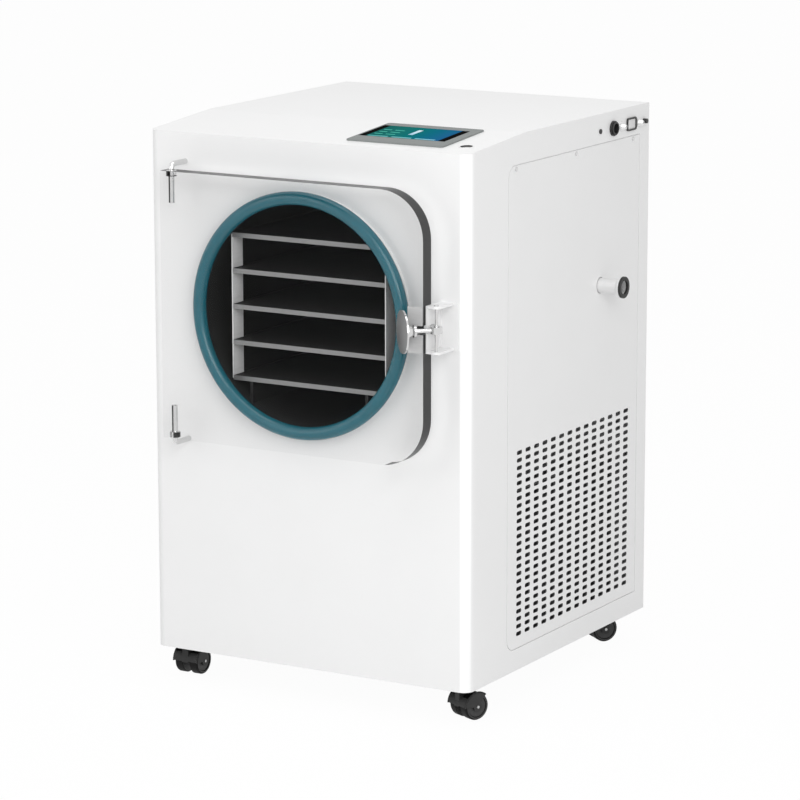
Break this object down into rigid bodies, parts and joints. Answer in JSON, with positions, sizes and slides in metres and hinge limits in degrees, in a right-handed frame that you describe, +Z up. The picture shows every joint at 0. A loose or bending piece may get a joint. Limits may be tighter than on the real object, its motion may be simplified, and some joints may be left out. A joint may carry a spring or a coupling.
{
  "type": "freeze dryer",
  "caption": "White floor-standing laboratory freeze dryer with a round chamber, clear hinged door, shelf rack, sloped touch panel, vented sides and twin-wheel castors.",
  "frame": {"origin": "on the floor under the middle of the overall box", "axes": "+Z up, the door and front face -Y, +X to the right of a person facing the door"},
  "size_m": [0.7116, 0.8064, 1.0398],
  "materials": {
    "cabinet_paint": "smooth powder coat",
    "zinc": "zinc plated",
    "screws": "bright",
    "chamber_black": "matt black",
    "foam": "foam",
    "gasket": "satin",
    "rack_metal": "satin",
    "shelf_metal": "satin",
    "door_clear": "clear acrylic",
    "polished": "polished",
    "panel_bezel": "satin",
    "screen": "gloss",
    "button_steel": "turned",
    "port_steel": "satin",
    "port_seal": "matt",
    "black_fittings": "moulded",
    "condenser_fins": "bare",
    "fan_frame": "matt",
    "fan_plastic": "moulded",
    "compressor_black": "gloss",
    "castor_nylon": "moulded",
    "castor_tyre": "matt"
  },
  "bodies": {
    "cabinet": {"shell": "cabinet_paint", "top_cover": "cabinet_paint", "rear_panel": "cabinet_paint", "base_plate": "zinc", "right_access_panel": "cabinet_paint", "left_access_panel": "cabinet_paint", "panel_screws": "screws", "chamber_deck": "zinc", "chamber_drum": "chamber_black", "chamber_jacket": "foam", "door_gasket": "gasket", "rack_side_left": "rack_metal", "rack_side_right": "rack_metal", "shelf_1": "shelf_metal", "shelf_2": "shelf_metal", "shelf_3": "shelf_metal", "shelf_4": "shelf_metal", "shelf_5": "shelf_metal", "hinge_pins": "polished", "latch_bracket": "polished", "latch_pin": "polished", "touch_panel_bezel": "panel_bezel", "touch_panel_screen": "screen", "button_ring": "button_steel", "vacuum_port": "port_steel", "vacuum_port_ring": "port_seal", "signal_socket": "black_fittings", "hose_nozzles": "polished", "data_port": "black_fittings", "blanking_plugs": "black_fittings", "power_inlet": "black_fittings", "condenser": "condenser_fins", "fan_shroud": "fan_frame", "compressor": "compressor_black", "castor_plate_fr": "zinc", "castor_plate_fl": "zinc", "castor_plate_rr": "zinc", "castor_plate_rl": "zinc"},
    "door": {"door": "door_clear", "hinge_bushes": "polished", "strike_plate": "polished"},
    "latch_bolt": {"swing_bolt": "polished"},
    "latch_washer": {"clamp_washer": "polished"},
    "latch_knob": {"clamp_knob": "polished"},
    "power_button": {"button_cap": "button_steel"},
    "cooling_fan": {"fan": "fan_plastic"},
    "castor_fr": {"castor_housing_fr": "castor_nylon"},
    "castor_fr_wheel_a": {"wheel_fr_a": "castor_tyre"},
    "castor_fr_wheel_b": {"wheel_fr_b": "castor_tyre"},
    "castor_fl": {"castor_housing_fl": "castor_nylon"},
    "castor_fl_wheel_a": {"wheel_fl_a": "castor_tyre"},
    "castor_fl_wheel_b": {"wheel_fl_b": "castor_tyre"},
    "castor_rr": {"castor_housing_rr": "castor_nylon"},
    "castor_rr_wheel_a": {"wheel_rr_a": "castor_tyre"},
    "castor_rr_wheel_b": {"wheel_rr_b": "castor_tyre"},
    "castor_rl": {"castor_housing_rl": "castor_nylon"},
    "castor_rl_wheel_a": {"wheel_rl_a": "castor_tyre"},
    "castor_rl_wheel_b": {"wheel_rl_b": "castor_tyre"}
  },
  "joints": [
    {"name": "door_hinge", "type": "hinge", "parent": "cabinet", "child": "door", "pos_m": [-0.2757, -0.33282, 0.7145], "axis": [0, 0, -1], "range_deg": [0, 175]},
    {"name": "latch_swing", "type": "hinge", "parent": "cabinet", "child": "latch_bolt", "pos_m": [0.2668, -0.33282, 0.718], "axis": [0, 0, 1], "range_deg": [0, 120]},
    {"name": "washer_slide", "type": "slide", "parent": "latch_bolt", "child": "latch_washer", "axis": [-0.7071, -0.7071, 0], "range_m": [0, 0.005]},
    {"name": "knob_turn", "type": "hinge", "parent": "latch_washer", "child": "latch_knob", "pos_m": [0.2668, -0.33282, 0.718], "axis": [-0.7071, -0.7071, 0], "range_deg": [0, 1440]},
    {"name": "button_press", "type": "slide", "parent": "cabinet", "child": "power_button", "axis": [0, 0.0779, -0.997], "range_m": [0, 0.0025], "stiffness_N_per_m": 400},
    {"name": "fan_spin", "type": "hinge", "parent": "cabinet", "child": "cooling_fan", "pos_m": [0.2278, 0.10718, 0.227], "axis": [1, 0, 0], "continuous": true},
    {"name": "castor_fr_swivel", "type": "hinge", "parent": "cabinet", "child": "castor_fr", "pos_m": [0.2658, -0.24582, 0.0565], "axis": [0, 0, 1], "continuous": true},
    {"name": "castor_fr_wheel_a_roll", "type": "hinge", "parent": "castor_fr", "child": "castor_fr_wheel_a", "pos_m": [0.27393, -0.22755, 0.025], "axis": [0.9135, -0.4067, 0], "continuous": true},
    {"name": "castor_fr_wheel_b_roll", "type": "hinge", "parent": "castor_fr", "child": "castor_fr_wheel_b", "pos_m": [0.27393, -0.22755, 0.025], "axis": [0.9135, -0.4067, 0], "continuous": true},
    {"name": "castor_fl_swivel", "type": "hinge", "parent": "cabinet", "child": "castor_fl", "pos_m": [-0.3142, -0.24582, 0.0565], "axis": [0, 0, 1], "continuous": true},
    {"name": "castor_fl_wheel_a_roll", "type": "hinge", "parent": "castor_fl", "child": "castor_fl_wheel_a", "pos_m": [-0.3142, -0.22582, 0.025], "axis": [1, 0, 0], "continuous": true},
    {"name": "castor_fl_wheel_b_roll", "type": "hinge", "parent": "castor_fl", "child": "castor_fl_wheel_b", "pos_m": [-0.3142, -0.22582, 0.025], "axis": [1, 0, 0], "continuous": true},
    {"name": "castor_rr_swivel", "type": "hinge", "parent": "cabinet", "child": "castor_rr", "pos_m": [0.2228, 0.34218, 0.0565], "axis": [0, 0, 1], "continuous": true},
    {"name": "castor_rr_wheel_a_roll", "type": "hinge", "parent": "castor_rr", "child": "castor_rr_wheel_a", "pos_m": [0.23511, 0.35794, 0.025], "axis": [0.788, -0.6157, 0], "continuous": true},
    {"name": "castor_rr_wheel_b_roll", "type": "hinge", "parent": "castor_rr", "child": "castor_rr_wheel_b", "pos_m": [0.23511, 0.35794, 0.025], "axis": [0.788, -0.6157, 0], "continuous": true},
    {"name": "castor_rl_swivel", "type": "hinge", "parent": "cabinet", "child": "castor_rl", "pos_m": [-0.2712, 0.34218, 0.0565], "axis": [0, 0, 1], "continuous": true},
    {"name": "castor_rl_wheel_a_roll", "type": "hinge", "parent": "castor_rl", "child": "castor_rl_wheel_a", "pos_m": [-0.27604, 0.36159, 0.025], "axis": [0.9703, 0.2419, 0], "continuous": true},
    {"name": "castor_rl_wheel_b_roll", "type": "hinge", "parent": "castor_rl", "child": "castor_rl_wheel_b", "pos_m": [-0.27604, 0.36159, 0.025], "axis": [0.9703, 0.2419, 0], "continuous": true}
  ],
  "couplings": [
    {"joint": "washer_slide", "follows": "knob_turn", "m_per_rad": 0.0001989}
  ]
}
